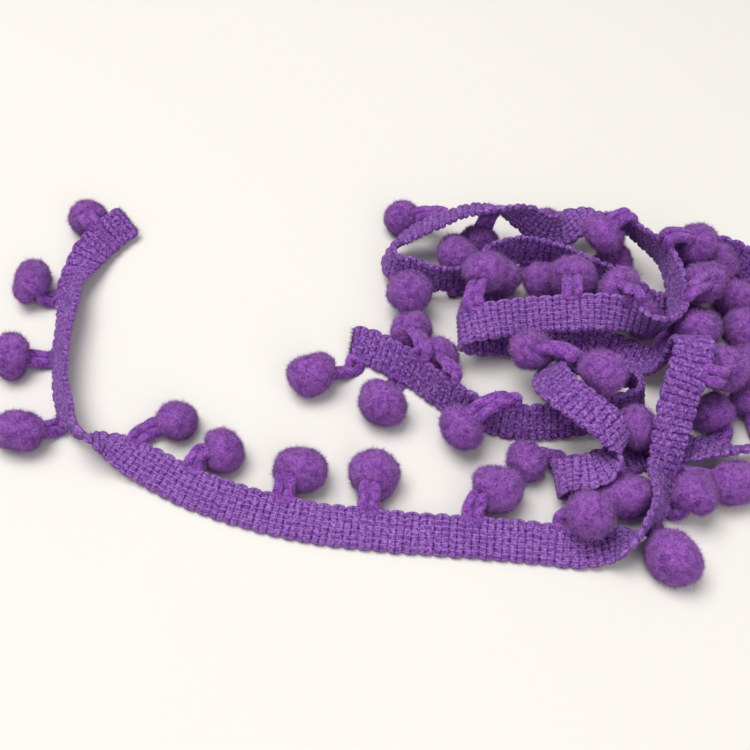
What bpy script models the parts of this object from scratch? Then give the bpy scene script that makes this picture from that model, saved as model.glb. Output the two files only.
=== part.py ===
"""Pompom fringe trim: a woven scalloped tape with pompoms on yarn loops, lying in a loose pile."""

import math

import bpy
import numpy as np
from mathutils import Matrix

# Driving dimensions, in millimetres
MM = 0.001
SCALLOP = 3.2
PEAK_HALF_WIDTH = 4.6
PEAK_HALF_THICKNESS = 0.82
VALLEY_HALF_WIDTH = 4.05
VALLEY_HALF_THICKNESS = 0.58
CLEARANCE = 0.3
ROOT_GAP = 0.55
RESTING_HEIGHT = 0.82
YARN_HALF = 0.8
LOOP_HALF_WIDTH = 1.3
LOOP_START = 0.3
LOOP_TWIST = 1.5
YARN_OVERLAP = 0.4
BEND_SHARE = 0.9
KNEE_RADIUS = 1.9
KNEE_REACH = (2.4, 5.0)
POMPOM_REACH = (6.4, 9.5)
KNEE_OUT = 0.8
POMPOM_SEGMENTS = 9
POMPOM_RINGS = 6
POMPOM_DIMPLE = 0.16
DIMPLE_ANGLE = 0.55
MEAN_REACH = 0.965
LUMP_REACH = 0.0175
FAR_REACH = 0.95
SETTLING_STEPS = 700
PULLED_STEPS = 450
LOOK_AGAIN = 20
LOOKING_ROOM = 2.5
OWN_ROOT = 3.5
PULL = 0.05
FIRST_KNEE_OUT = 1.6
FIRST_KNEE_SHARE = 0.35
SLACK_TO_POMPOM = 0.6
CURVE_STEPS = 40
KNOT_POWER = 0.75
TURN_SMOOTHING = 4
SKIN_ROWS = 9
NO_POMPOM_AXIS = (0.31, 0.17, 0.94)

# Each row is a place along the tape's middle: x, y, z, then the compass angle and the rise
# in degrees of the way from the middle to the pompom edge.
FRONT_RUN = (
    (-64.7, 47.4, 4.5, 118, 36),
    (-69, 42, 4.5, 122, 36),
    (-72.5, 36.5, 4.4, 130, 24),
    (-75, 30.5, 3.8, 155, -8),
    (-76, 24.3, 4.4, 178, -34),
    (-75, 16.6, 5.1, 180, -44),
    (-74.5, 8.5, 5.7, 180, -52),
    (-73.5, 0, 6, 180, -58),
    (-72, -8.4, 6.3, 182, -62),
    (-68.5, -16.5, 6.6, 190, -68),
    (-64.5, -21.5, 6.6, 70, -68),
    (-59, -22.5, 3.8, 55, -28),
    (-51, -26.5, 2.6, 58, 10),
    (-40.5, -32.5, 2.5, 68, 22),
    (-29, -37, 2.4, 78, 22),
    (-14, -41, 2.4, 82, 22),
    (1, -43, 2.4, 84, 22),
    (18, -44.5, 2.4, 86, 22),
    (33.5, -46, 2.5, 88, 24),
    (43.5, -47, 2.1, 95, 15),
    (49.5, -46.5, 2.6, 105, -15),
)
RISING_RUN = (
    (53.5, -46.5, 5.6, 115, -50),
    (56.5, -44.5, 6.9, 290, -82),
    (59.5, -40.5, 6.7, 330, -72),
    (61, -35.5, 5.9, 348, -55),
    (62, -31, 6, 356, -40),
    (63.5, -26.5, 8.8, 0, -25),
    (64.5, -22.5, 12, 2, -10),
    (66, -17.5, 16, 2, 0),
    (68, -13, 19.2, 0, 0),
    (70, -6.5, 20.7, 0, 0),
    (70, -3.5, 18, 0, 0),
    (69.5, -3, 13, 5, 0),
    (67, -1.5, 7.5, 40, 5),
)
INNER_BAND = (
    (62, 2, 3.6, 72, 15),
    (55, 5.5, 3.2, 88, 22),
    (46, 7.2, 3.8, 90, 30),
    (36, 8, 4.2, 90, 36),
    (28, 7.6, 4.8, 90, 35),
    (22.5, 7, 6, 88, 30),
    (20, 6.2, 8.8, 85, 25),
    (22, 6, 11.2, 82, 28),
    (27, 6.4, 12.6, 82, 33),
    (36, 7.6, 12.8, 88, 37),
    (44, 8.2, 13, 90, 37),
    (52.5, 8.1, 13.6, 92, 42),
    (58.5, 6.4, 14.3, 95, 68),
    (63, 3.8, 14.5, 262, 72),
)
TOP_LOOP = (
    (67, 4, 14.5, 262, 58),
    (70, 7.5, 14.5, 320, 66),
    (71, 13.5, 14.5, 355, 78),
    (71, 20, 14.5, 0, 80),
    (70, 26, 13.8, 235, 84),
    (67, 32.5, 12.5, 240, 74),
    (63, 38.5, 11.5, 250, 66),
    (58.5, 42.5, 10.5, 264, 48),
    (54, 43.8, 9.2, 268, 12),
    (50.5, 42.5, 8, 266, -28),
    (47, 40.8, 7.6, 266, -60),
    (43, 40.4, 8.6, 268, -80),
)
ARCH = (
    (38.5, 41.2, 11.4, 275, -84),
    (34, 41.4, 13.8, 90, -62),
    (29, 41, 15, 90, -35),
    (22.5, 41, 14, 90, -30),
    (16.5, 40, 11.6, 98, -30),
    (10, 39, 8.6, 112, -32),
    (5.5, 36.5, 6.4, 145, -52),
    (3.5, 32, 6.7, 190, -72),
    (5, 28.5, 6.7, 260, -72),
    (9, 27, 6.6, 265, -70),
    (14.5, 24.8, 6.9, 200, -86),
    (20, 24.6, 7, 100, -84),
    (25, 27, 7, 110, -84),
)
RIDGE = (
    (28, 31.5, 7, 200, -88),
    (32, 33.5, 7, 280, -84),
    (37, 34.5, 7, 270, -84),
    (42.5, 33.5, 7, 270, -84),
    (48, 31.5, 7, 80, -86),
    (53, 28.5, 6.9, 60, -82),
    (58, 24.5, 6.6, 240, -78),
    (62.5, 20.5, 5.9, 235, -55),
    (67, 16.5, 5.2, 245, -45),
    (71, 15.5, 5.6, 300, -50),
)
RIGHT_SIDE = (
    (74.5, 18.5, 6.3, 0, -62),
    (74.5, 24, 6.8, 0, -74),
    (74, 29.5, 6.9, 0, -82),
    (76, 34, 6.9, 315, -82),
    (80, 35.5, 6.9, 275, -82),
    (86.5, 34.5, 6.9, 262, -80),
    (92.5, 30.5, 6.7, 225, -72),
    (96.5, 23.5, 6.3, 195, -62),
    (98, 14, 5.9, 180, -55),
    (98, 4, 5.7, 180, -52),
    (96.5, -7, 5.7, 170, -52),
    (93, -16.5, 6.1, 130, -58),
    (87, -23, 6.1, 110, -58),
    (79.5, -25, 5.9, 92, -54),
)
UNDER_LAYER = (
    (73, -23.5, 3.8, 100, -28),
    (66.5, -22, 1.5, 100, -8),
    (59, -23, 0.8, 102, 0),
    (51, -26, 0.8, 110, 0),
    (44.5, -29, 1.1, 105, 0),
    (40.5, -31, 2.6, 92, 0),
)
COIL = (
    (39.5, -32, 5.2, 82, 2),
    (42, -32, 7.6, 75, 5),
    (45.5, -32.4, 8.8, 72, 8),
    (49, -31.8, 10, 68, 6),
    (52, -29, 12.6, 62, 5),
    (50, -26, 15.8, 55, 5),
    (46.5, -23, 17, 50, 6),
    (43, -19.5, 17, 48, 8),
    (40.5, -16, 16, 44, 12),
    (39, -11.5, 14, 25, 30),
    (39.5, -7.2, 11.8, 330, 52),
    (43.5, -4.6, 10, 285, 66),
    (49.5, -4.4, 8.6, 272, 76),
    (55.5, -5.4, 7.8, 255, 80),
    (60, -8.4, 7.4, 210, 80),
    (60, -12.2, 7.2, 140, 76),
    (55.5, -14.4, 6.6, 100, 66),
)
SHORT_RUN = (
    (48, -15.8, 5.2, 92, 60),
    (40, -16.4, 4.5, 90, 58),
    (33, -16.6, 4.3, 90, 60),
    (25.5, -15, 4.4, 75, 68),
    (19, -11, 4.6, 55, 68),
    (13, -6, 4.5, 52, 64),
    (8, -1, 4.3, 54, 58),
    (2.5, 3, 3.9, 60, 46),
    (-2, 6, 3.4, 75, 38),
    (-5.5, 7, 3.2, 82, 35),
)
FRONT_HALF = FRONT_RUN + RISING_RUN + INNER_BAND + TOP_LOOP + ARCH
BACK_HALF = RIDGE + RIGHT_SIDE + UNDER_LAYER + COIL + SHORT_RUN
ROUTE = FRONT_HALF + BACK_HALF

# Each row is a pompom: distance along the tape, edge it hangs from, radius, then where it
# would lie if nothing were in its way, with z 0 for on the table.
POMPOMS = (
    (9, 1, 5.1, -72, 46, 0),
    (27, 1, 5, -84.5, 25.5, 0),
    (45, 1, 5.2, -86, 2.5, 0),
    (64, 1, 5.2, -79.5, -19, 0),
    (86, 1, 4.7, -45, -16, 0),
    (102, 1, 5, -34, -24.5, 0),
    (122, 1, 5.5, -17, -31.5, 0),
    (141, 1, 5.5, 0, -30.5, 0),
    (165, 1, 5.6, 26, -35, 0),
    (183, 1, 5, 44.5, -42.5, 9),
    (207, 1, 5.8, 61.5, -50.5, 0),
    (213, 1, 4.9, 66.5, -35, 0),
    (219, 1, 5.3, 76, -32, 0),
    (241, 1, 5.4, 78, -9, 11),
    (266, 1, 5, 73.5, 5, 11),
    (286, 1, 4.8, 52.5, 19, 0),
    (297, 1, 5, 24.5, 16.5, 0),
    (322, 1, 5.5, 27, 20.5, 12),
    (345, 1, 5.2, 48, 20.5, 10),
    (358, 1, 4.9, 60, 13, 12),
    (374, 1, 5.1, 79.5, 19, 12),
    (387, 1, 5, 80.5, 28.5, 11),
    (402, 1, 5.2, 58, 35.5, 12.5),
    (424, 1, 5, 45, 44, 0),
    (439, 1, 4.9, 26, 39.5, 0),
    (456, 1, 5.1, 7.5, 48.5, 0),
    (483, 1, 5.3, 10.5, 19, 0),
    (495, 1, 5.4, 21, 32.5, 0),
    (508, 1, 5, 31, 25, 6.5),
    (516, 1, 5, 40, 26.5, 0),
    (529, 1, 5, 60, 33.5, 0),
    (545, 1, 4.7, 64.5, 12.5, 0),
    (560, 1, 5, 81, 11, 0),
    (577, 1, 5, 88.5, 31, 8),
    (594, 1, 5, 89, 23, 0),
    (611, 1, 5.1, 85.5, 10, 0),
    (630, 1, 5, 87, 1, 0),
    (648, 1, 5, 86.5, -8.5, 0),
    (662, 1, 5, 76, -16.5, 0),
    (673, 1, 4.8, 58, -20.5, 8),
    (700, 1, 4.5, 34, -26.5, 0),
    (717, 1, 5.6, 55, -37.5, 9.5),
    (753, 1, 4.8, 34.5, -2, 9.5),
    (762, 1, 5, 51, -11, 12),
    (809, 1, 5.2, 17.5, -20, 0),
    (822, 1, 5, 16.5, -0.5, 0),
    (832, 1, 4.8, 10.5, 9.5, 0),
    (836, -1, 5.3, 1.5, -10.5, 0),
    (849, -1, 5.4, -14.5, -3, 0),
)

TAPE_COLOUR = (0.24, 0.085, 0.52, 1)
POMPOM_COLOUR = (0.27, 0.095, 0.56, 1)


def unit(vectors):
    return vectors / np.linalg.norm(vectors, axis=-1, keepdims=True)


def smooth_curve(knots, values, at):
    """Values of a smooth curve through the given values at the given knots."""
    steps = np.diff(knots)[:, None]
    slopes = np.diff(values, axis=0) / steps
    tangents = np.empty_like(values)
    tangents[1:-1] = (slopes[:-1] * steps[1:] + slopes[1:] * steps[:-1]) / (steps[:-1] + steps[1:])
    tangents[0] = slopes[0]
    tangents[-1] = slopes[-1]
    part = np.clip(np.searchsorted(knots, at, side="right") - 1, 0, len(knots) - 2)
    step = steps[part]
    t = ((at - knots[part]) / steps[part, 0])[:, None]
    start = values[part] * (1 + 2 * t) * (1 - t) ** 2 + tangents[part] * step * t * (1 - t) ** 2
    end = values[part + 1] * t * t * (3 - 2 * t) + tangents[part + 1] * step * t * t * (t - 1)
    return start + end


def lay_tape(route, spacing):
    """Even samples of the tape: middle, way along, way to the pompom edge, distance along."""
    rows = np.array(route, float)
    points = rows[:, :3]
    compass = np.radians(rows[:, 3])
    rise = np.radians(rows[:, 4])
    edges = np.stack([np.cos(rise) * np.cos(compass), np.cos(rise) * np.sin(compass), np.sin(rise)], axis=1)
    chords = np.linalg.norm(np.diff(points, axis=0), axis=1)
    knots = np.concatenate([[0], np.cumsum(chords**KNOT_POWER)])
    fine = np.linspace(0, knots[-1], CURVE_STEPS * len(rows))
    path = smooth_curve(knots, points, fine)
    walked = np.concatenate([[0], np.cumsum(np.linalg.norm(np.diff(path, axis=0), axis=1))])
    along = np.linspace(0, walked[-1], int(round(walked[-1] / spacing)) + 1)
    at = np.interp(along, walked, fine)
    middle = smooth_curve(knots, points, at)
    way = unit(np.gradient(middle, along, axis=0))
    edge = smooth_curve(knots, edges, at)
    edge = unit(edge - (edge * way).sum(axis=1, keepdims=True) * way)
    for _ in range(TURN_SMOOTHING):
        edge[1:-1] = edge[:-2] + 2 * edge[1:-1] + edge[2:]
        edge = unit(edge - (edge * way).sum(axis=1, keepdims=True) * way)
    return middle, way, edge, along


def push_pairs_apart(places, radii, pompoms):
    """Moves each pair of balls that is too close apart by half of what is missing."""
    gaps = places[:, None] - places[None]
    distance = np.linalg.norm(gaps, axis=2)
    needed = radii[:, None] + radii[None] + CLEARANCE
    close = distance < needed
    np.fill_diagonal(close, False)
    for own in range(pompoms):
        close[own, own + pompoms] = False
        close[own + pompoms, own] = False
    first, second = np.nonzero(close)
    away = gaps[first, second] / distance[first, second][:, None]
    np.add.at(places, first, away * (needed - distance)[first, second][:, None] / 2)


def tape_nearby(places, needed, roots, skin, skin_along):
    """For each ball the parts of the tape that it can reach, a loop's own root left out."""
    nearby = []
    for number, place in enumerate(places):
        near = np.abs(skin - place).max(axis=1) < needed[number] + LOOKING_ROOM
        if number >= len(roots):
            near &= np.abs(skin_along - roots[number - len(roots)]) > OWN_ROOT
        nearby.append(skin[near])
    return nearby


def push_off_tape(places, needed, nearby):
    """Moves each ball off the closest part of the tape."""
    for number, parts in enumerate(nearby):
        if not len(parts):
            continue
        away = places[number] - parts
        distance = np.linalg.norm(away, axis=1)
        closest = distance.argmin()
        if distance[closest] < needed[number]:
            places[number] += away[closest] * (needed[number] / distance[closest] - 1)


def hold_between(points, anchors, reach):
    """The points brought to a distance within reach of their anchors."""
    away = points - anchors
    distance = np.linalg.norm(away, axis=1, keepdims=True)
    return anchors + away / distance * np.clip(distance, *reach)


def settle_pompoms(middle, edge, along):
    """Where each pompom and its loop's knee come to lie, off the tape, the table and each other."""
    table = np.array(POMPOMS, float)
    roots = table[:, 0]
    radius = table[:, 2]
    wanted = table[:, 3:]
    wanted[:, 2] = np.maximum(wanted[:, 2], RESTING_HEIGHT * radius)
    place = 1 + 2 * np.abs(along[1::2, None] - roots).argmin(axis=0)
    outward = edge[place] * table[:, 1:2]
    foot = middle[place] + outward * (PEAK_HALF_WIDTH + ROOT_GAP + YARN_HALF)
    across = np.linspace(-PEAK_HALF_WIDTH, PEAK_HALF_WIDTH, SKIN_ROWS)
    skin = (middle[:, None] + across[None, :, None] * edge[:, None]).reshape(-1, 3)
    skin_along = np.repeat(along, len(across))
    pompoms = len(roots)
    radii = np.concatenate([radius, np.full(pompoms, KNEE_RADIUS)])
    needed = radii + PEAK_HALF_THICKNESS + CLEARANCE
    ball = wanted.copy()
    knee = foot + outward * FIRST_KNEE_OUT + FIRST_KNEE_SHARE * (wanted - foot)
    for step in range(SETTLING_STEPS):
        if step < PULLED_STEPS:
            ball += PULL * (wanted - ball)
        places = np.concatenate([ball, knee])
        push_pairs_apart(places, radii, pompoms)
        if step % LOOK_AGAIN == 0:
            nearby = tape_nearby(places, needed, roots, skin, skin_along)
        push_off_tape(places, needed, nearby)
        places[:, 2] = np.maximum(places[:, 2], RESTING_HEIGHT * radii)
        ball = places[:pompoms]
        knee = hold_between(places[pompoms:], foot, KNEE_REACH)
        out = ((knee - foot) * outward).sum(axis=1, keepdims=True)
        knee = knee + outward * np.maximum(0, KNEE_OUT - out)
        slack = ball - hold_between(ball, knee, POMPOM_REACH)
        ball = ball - SLACK_TO_POMPOM * slack
        knee = knee + (1 - SLACK_TO_POMPOM) * slack
    return place, foot, knee, ball, radius


def mesh_object(name, points, faces, collection, material):
    """An object in the collection made of points in millimetres and their faces."""
    mesh = bpy.data.meshes.new(name)
    mesh.from_pydata([tuple(point) for point in points * MM], [], faces)
    mesh.validate()
    mesh.update()
    made = bpy.data.objects.new(name, mesh)
    collection.objects.link(made)
    if material:
        mesh.materials.append(material)
    return made


def loft(rings, sides):
    """Faces joining rings of equal point count, with a cap at each end."""
    faces = []
    for ring in range(rings - 1):
        for side in range(sides):
            here = ring * sides + side
            beside = ring * sides + (side + 1) % sides
            faces.append((here, beside, beside + sides, here + sides))
    faces.append(tuple(reversed(range(sides))))
    faces.append(tuple((rings - 1) * sides + side for side in range(sides)))
    return faces


def build_tape(middle, way, edge, collection, material):
    """The scalloped tape: odd sections are the full weft ribs, even ones the dips between them."""
    face = np.cross(way, edge)
    rib = np.arange(len(middle)) % 2
    width = np.where(rib, PEAK_HALF_WIDTH, VALLEY_HALF_WIDTH)[:, None] * edge
    thickness = np.where(rib, PEAK_HALF_THICKNESS, VALLEY_HALF_THICKNESS)[:, None] * face
    corners = [
        middle + width + thickness,
        middle - width + thickness,
        middle - width - thickness,
        middle + width - thickness,
    ]
    points = np.stack(corners, axis=1).reshape(-1, 3)
    points[:, 2] = np.maximum(points[:, 2], 0)
    return mesh_object("tape", points, loft(len(middle), 4), collection, material)


def pompom_points(centre, axis, radius, number):
    """A lumpy ball with a dimple where its loop goes in."""
    up = unit(axis)
    sideways = unit(np.cross(up, NO_POMPOM_AXIS))
    front = np.cross(up, sideways)
    points = [centre + up * radius * (1 - POMPOM_DIMPLE)]
    for ring in range(1, POMPOM_RINGS):
        tilt = math.pi * ring / POMPOM_RINGS
        for segment in range(POMPOM_SEGMENTS):
            turn = 2 * math.pi * segment / POMPOM_SEGMENTS
            lump = math.sin(2 * turn + number) * math.sin(tilt) + math.sin(3 * tilt + 2 * number)
            dimple = POMPOM_DIMPLE * math.exp(-((tilt / DIMPLE_ANGLE) ** 2))
            reach = radius * (MEAN_REACH + LUMP_REACH * lump - dimple)
            way = math.cos(tilt) * up + math.sin(tilt) * (math.cos(turn) * sideways + math.sin(turn) * front)
            points.append(centre + reach * way)
    points.append(centre - up * radius * FAR_REACH)
    points = np.array(points)
    points[:, 2] = np.maximum(points[:, 2], 0)
    return points


def pompom_faces():
    """Faces of a ball of rings between two poles."""
    count = POMPOM_SEGMENTS
    last = (POMPOM_RINGS - 1) * count + 1
    faces = []
    for segment in range(count):
        beside = (segment + 1) % count
        faces.append((0, 1 + segment, 1 + beside))
        for ring in range(POMPOM_RINGS - 2):
            first = 1 + ring * count
            faces.append((first + segment, first + count + segment, first + count + beside, first + beside))
        lowest = 1 + (POMPOM_RINGS - 2) * count
        faces.append((lowest + segment, last, lowest + beside))
    return faces


def yarn_length(start, end, normal, half):
    """Corners of one straight length of yarn, a little longer at each end than its two places."""
    way = unit(end - start)
    normal = unit(normal - (normal @ way) * way)
    beside = np.cross(way, normal)
    corners = [normal + beside, beside - normal, -normal - beside, normal - beside]
    spare = YARN_OVERLAP * half * way
    return [place + half * corner for place in (start - spare, end + spare) for corner in corners]


def loop_mesh(foot, knee, ball, side):
    """The doubled yarn in straight lengths: out of the pompom, round at the tape's edge and back."""
    out = unit(knee - foot)
    on = unit(ball - knee)
    turn = LOOP_TWIST * np.cross(out, on)
    turn = turn if side @ turn > 0 else -turn
    apart_at_ball = unit(side - (side @ on) * on + turn)
    apart_at_knee = unit(side + apart_at_ball)
    upper = np.cross(apart_at_ball, on)
    lower = np.cross(side, out)
    reach = LOOP_HALF_WIDTH * side
    lengths = [yarn_length(foot - reach, foot + reach, lower, BEND_SHARE * YARN_HALF)]
    for half_width in (LOOP_HALF_WIDTH, -LOOP_HALF_WIDTH):
        bend = knee + half_width * apart_at_knee
        inner = ball + LOOP_START * (knee - ball) + half_width * apart_at_ball
        lengths.append(yarn_length(foot + half_width * side, bend, lower, YARN_HALF))
        lengths.append(yarn_length(bend, inner, upper, YARN_HALF))
    points = np.array(lengths).reshape(-1, 3)
    points[:, 2] = np.maximum(points[:, 2], 0)
    faces = []
    for first in range(0, len(points), 8):
        for face in loft(2, 4):
            faces.append(tuple(first + corner for corner in face))
    return points, faces


def build_pompom(number, foot, knee, ball, side, radius, collection, guides, material):
    """One pompom fused with the doubled yarn it hangs by."""
    name = f"pompom_{number:02d}"
    points = pompom_points(ball, knee - ball, radius, number)
    made = mesh_object(name, points, pompom_faces(), collection, material)
    yarn = mesh_object(f"yarn_{number:02d}", *loop_mesh(foot, knee, ball, side), guides, None)
    yarn.hide_render = True
    yarn.display_type = "WIRE"
    union = made.modifiers.new("yarn loop", "BOOLEAN")
    union.operation = "UNION"
    union.solver = "EXACT"
    union.use_self = True
    union.object = yarn
    for face in made.data.polygons:
        face.use_smooth = True
    return made


def centre_on_footprint(collections):
    """Moves every mesh so that the origin is the middle of the whole trim's footprint."""
    meshes = [made.data for group in collections for made in group.objects]
    corners = np.array([tuple(vertex.co) for mesh in meshes for vertex in mesh.vertices])
    middle = (corners.min(axis=0) + corners.max(axis=0)) / 2
    shift = Matrix.Translation((-middle[0], -middle[1], 0))
    for mesh in meshes:
        mesh.transform(shift)
    return middle


def principled(name, colour):
    """A matte material."""
    material = bpy.data.materials.new(name)
    material.use_nodes = True
    shader = material.node_tree.nodes["Principled BSDF"]
    shader.inputs["Base Color"].default_value = colour
    shader.inputs["Roughness"].default_value = 0.95
    return material


def main():
    for old in list(bpy.data.objects):
        bpy.data.objects.remove(old, do_unlink=True)
    collection = bpy.data.collections.new("pompom_fringe_trim")
    guides = bpy.data.collections.new("guides")
    bpy.context.scene.collection.children.link(collection)
    bpy.context.scene.collection.children.link(guides)
    middle, way, edge, along = lay_tape(ROUTE, SCALLOP / 2)
    tape = build_tape(middle, way, edge, collection, principled("tape_yarn", TAPE_COLOUR))
    place, foot, knee, ball, radius = settle_pompoms(middle, edge, along)
    for number in range(len(ball)):
        material = principled(f"pompom_pile_{number + 1:02d}", POMPOM_COLOUR)
        build_pompom(
            number + 1,
            foot[number],
            knee[number],
            ball[number],
            way[place[number]],
            radius[number],
            collection,
            guides,
            material,
        )
    middle = centre_on_footprint((collection, guides))
    print("footprint middle", [round(1000 * float(value), 2) for value in middle[:2]])
    print("tape length", round(float(along[-1]), 1), "mm,", len(tape.data.polygons), "faces")
    print(len(ball), "pompoms")


main()
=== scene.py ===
# %% [markdown]
# # A pompom fringe trim
# The real thing is a narrow woven tape with scalloped edges. Loops of doubled yarn are woven
# into one edge, and each loop holds a pompom of short cut pile. About 85 cm of it lies on a
# table: one end in an open curve, the rest in a loose pile.
#
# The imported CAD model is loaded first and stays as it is. Each soft solid in it is then
# replaced by a piece with the weave, the pile and the yarn that the solid leaves out.

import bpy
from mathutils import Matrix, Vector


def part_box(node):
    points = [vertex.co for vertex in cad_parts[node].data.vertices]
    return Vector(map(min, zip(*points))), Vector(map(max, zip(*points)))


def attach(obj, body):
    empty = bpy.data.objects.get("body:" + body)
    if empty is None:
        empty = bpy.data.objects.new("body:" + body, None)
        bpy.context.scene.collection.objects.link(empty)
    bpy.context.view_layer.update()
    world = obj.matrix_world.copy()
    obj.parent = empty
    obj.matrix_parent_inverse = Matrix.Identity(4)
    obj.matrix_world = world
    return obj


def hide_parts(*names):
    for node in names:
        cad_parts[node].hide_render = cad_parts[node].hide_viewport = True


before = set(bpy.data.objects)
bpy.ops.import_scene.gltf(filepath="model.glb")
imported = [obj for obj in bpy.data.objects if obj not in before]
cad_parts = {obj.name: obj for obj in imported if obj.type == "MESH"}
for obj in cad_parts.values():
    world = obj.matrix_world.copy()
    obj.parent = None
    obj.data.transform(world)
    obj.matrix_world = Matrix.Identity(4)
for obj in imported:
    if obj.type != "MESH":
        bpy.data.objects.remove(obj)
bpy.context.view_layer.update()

# %% Modules and units
import math

import bmesh
import bpy
import numpy as np

MM = 0.001
TURN = 2 * math.pi

# %% [markdown]
# ## The way the tape lies
# A trim in a pile is one long ribbon that bends, turns on edge and climbs over itself. It could
# be simulated, but then it would not lie as in the photograph, and each run would take minutes.
# Here the ribbon's middle is a smooth curve through a table of places. Each row also says which
# way the pompom edge points: its compass angle, and how far it rises. These are the same rows
# that the CAD part was made from, so both lie alike.

# %% The route of the tape's middle
# Each row is a place along the tape's middle: x, y, z, then the compass angle and the rise
# in degrees of the way from the middle to the pompom edge.
FRONT_RUN = (
    (-64.7, 47.4, 4.5, 118, 36),
    (-69, 42, 4.5, 122, 36),
    (-72.5, 36.5, 4.4, 130, 24),
    (-75, 30.5, 3.8, 155, -8),
    (-76, 24.3, 4.4, 178, -34),
    (-75, 16.6, 5.1, 180, -44),
    (-74.5, 8.5, 5.7, 180, -52),
    (-73.5, 0, 6, 180, -58),
    (-72, -8.4, 6.3, 182, -62),
    (-68.5, -16.5, 6.6, 190, -68),
    (-64.5, -21.5, 6.6, 70, -68),
    (-59, -22.5, 3.8, 55, -28),
    (-51, -26.5, 2.6, 58, 10),
    (-40.5, -32.5, 2.5, 68, 22),
    (-29, -37, 2.4, 78, 22),
    (-14, -41, 2.4, 82, 22),
    (1, -43, 2.4, 84, 22),
    (18, -44.5, 2.4, 86, 22),
    (33.5, -46, 2.5, 88, 24),
    (43.5, -47, 2.1, 95, 15),
    (49.5, -46.5, 2.6, 105, -15),
)
RISING_RUN = (
    (53.5, -46.5, 5.6, 115, -50),
    (56.5, -44.5, 6.9, 290, -82),
    (59.5, -40.5, 6.7, 330, -72),
    (61, -35.5, 5.9, 348, -55),
    (62, -31, 6, 356, -40),
    (63.5, -26.5, 8.8, 0, -25),
    (64.5, -22.5, 12, 2, -10),
    (66, -17.5, 16, 2, 0),
    (68, -13, 19.2, 0, 0),
    (70, -6.5, 20.7, 0, 0),
    (70, -3.5, 18, 0, 0),
    (69.5, -3, 13, 5, 0),
    (67, -1.5, 7.5, 40, 5),
)
INNER_BAND = (
    (62, 2, 3.6, 72, 15),
    (55, 5.5, 3.2, 88, 22),
    (46, 7.2, 3.8, 90, 30),
    (36, 8, 4.2, 90, 36),
    (28, 7.6, 4.8, 90, 35),
    (22.5, 7, 6, 88, 30),
    (20, 6.2, 8.8, 85, 25),
    (22, 6, 11.2, 82, 28),
    (27, 6.4, 12.6, 82, 33),
    (36, 7.6, 12.8, 88, 37),
    (44, 8.2, 13, 90, 37),
    (52.5, 8.1, 13.6, 92, 42),
    (58.5, 6.4, 14.3, 95, 68),
    (63, 3.8, 14.5, 262, 72),
)
TOP_LOOP = (
    (67, 4, 14.5, 262, 58),
    (70, 7.5, 14.5, 320, 66),
    (71, 13.5, 14.5, 355, 78),
    (71, 20, 14.5, 0, 80),
    (70, 26, 13.8, 235, 84),
    (67, 32.5, 12.5, 240, 74),
    (63, 38.5, 11.5, 250, 66),
    (58.5, 42.5, 10.5, 264, 48),
    (54, 43.8, 9.2, 268, 12),
    (50.5, 42.5, 8, 266, -28),
    (47, 40.8, 7.6, 266, -60),
    (43, 40.4, 8.6, 268, -80),
)
ARCH = (
    (38.5, 41.2, 11.4, 275, -84),
    (34, 41.4, 13.8, 90, -62),
    (29, 41, 15, 90, -35),
    (22.5, 41, 14, 90, -30),
    (16.5, 40, 11.6, 98, -30),
    (10, 39, 8.6, 112, -32),
    (5.5, 36.5, 6.4, 145, -52),
    (3.5, 32, 6.7, 190, -72),
    (5, 28.5, 6.7, 260, -72),
    (9, 27, 6.6, 265, -70),
    (14.5, 24.8, 6.9, 200, -86),
    (20, 24.6, 7, 100, -84),
    (25, 27, 7, 110, -84),
)
RIDGE = (
    (28, 31.5, 7, 200, -88),
    (32, 33.5, 7, 280, -84),
    (37, 34.5, 7, 270, -84),
    (42.5, 33.5, 7, 270, -84),
    (48, 31.5, 7, 80, -86),
    (53, 28.5, 6.9, 60, -82),
    (58, 24.5, 6.6, 240, -78),
    (62.5, 20.5, 5.9, 235, -55),
    (67, 16.5, 5.2, 245, -45),
    (71, 15.5, 5.6, 300, -50),
)
RIGHT_SIDE = (
    (74.5, 18.5, 6.3, 0, -62),
    (74.5, 24, 6.8, 0, -74),
    (74, 29.5, 6.9, 0, -82),
    (76, 34, 6.9, 315, -82),
    (80, 35.5, 6.9, 275, -82),
    (86.5, 34.5, 6.9, 262, -80),
    (92.5, 30.5, 6.7, 225, -72),
    (96.5, 23.5, 6.3, 195, -62),
    (98, 14, 5.9, 180, -55),
    (98, 4, 5.7, 180, -52),
    (96.5, -7, 5.7, 170, -52),
    (93, -16.5, 6.1, 130, -58),
    (87, -23, 6.1, 110, -58),
    (79.5, -25, 5.9, 92, -54),
)
UNDER_LAYER = (
    (73, -23.5, 3.8, 100, -28),
    (66.5, -22, 1.5, 100, -8),
    (59, -23, 0.8, 102, 0),
    (51, -26, 0.8, 110, 0),
    (44.5, -29, 1.1, 105, 0),
    (40.5, -31, 2.6, 92, 0),
)
COIL = (
    (39.5, -32, 5.2, 82, 2),
    (42, -32, 7.6, 75, 5),
    (45.5, -32.4, 8.8, 72, 8),
    (49, -31.8, 10, 68, 6),
    (52, -29, 12.6, 62, 5),
    (50, -26, 15.8, 55, 5),
    (46.5, -23, 17, 50, 6),
    (43, -19.5, 17, 48, 8),
    (40.5, -16, 16, 44, 12),
    (39, -11.5, 14, 25, 30),
    (39.5, -7.2, 11.8, 330, 52),
    (43.5, -4.6, 10, 285, 66),
    (49.5, -4.4, 8.6, 272, 76),
    (55.5, -5.4, 7.8, 255, 80),
    (60, -8.4, 7.4, 210, 80),
    (60, -12.2, 7.2, 140, 76),
    (55.5, -14.4, 6.6, 100, 66),
)
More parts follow.
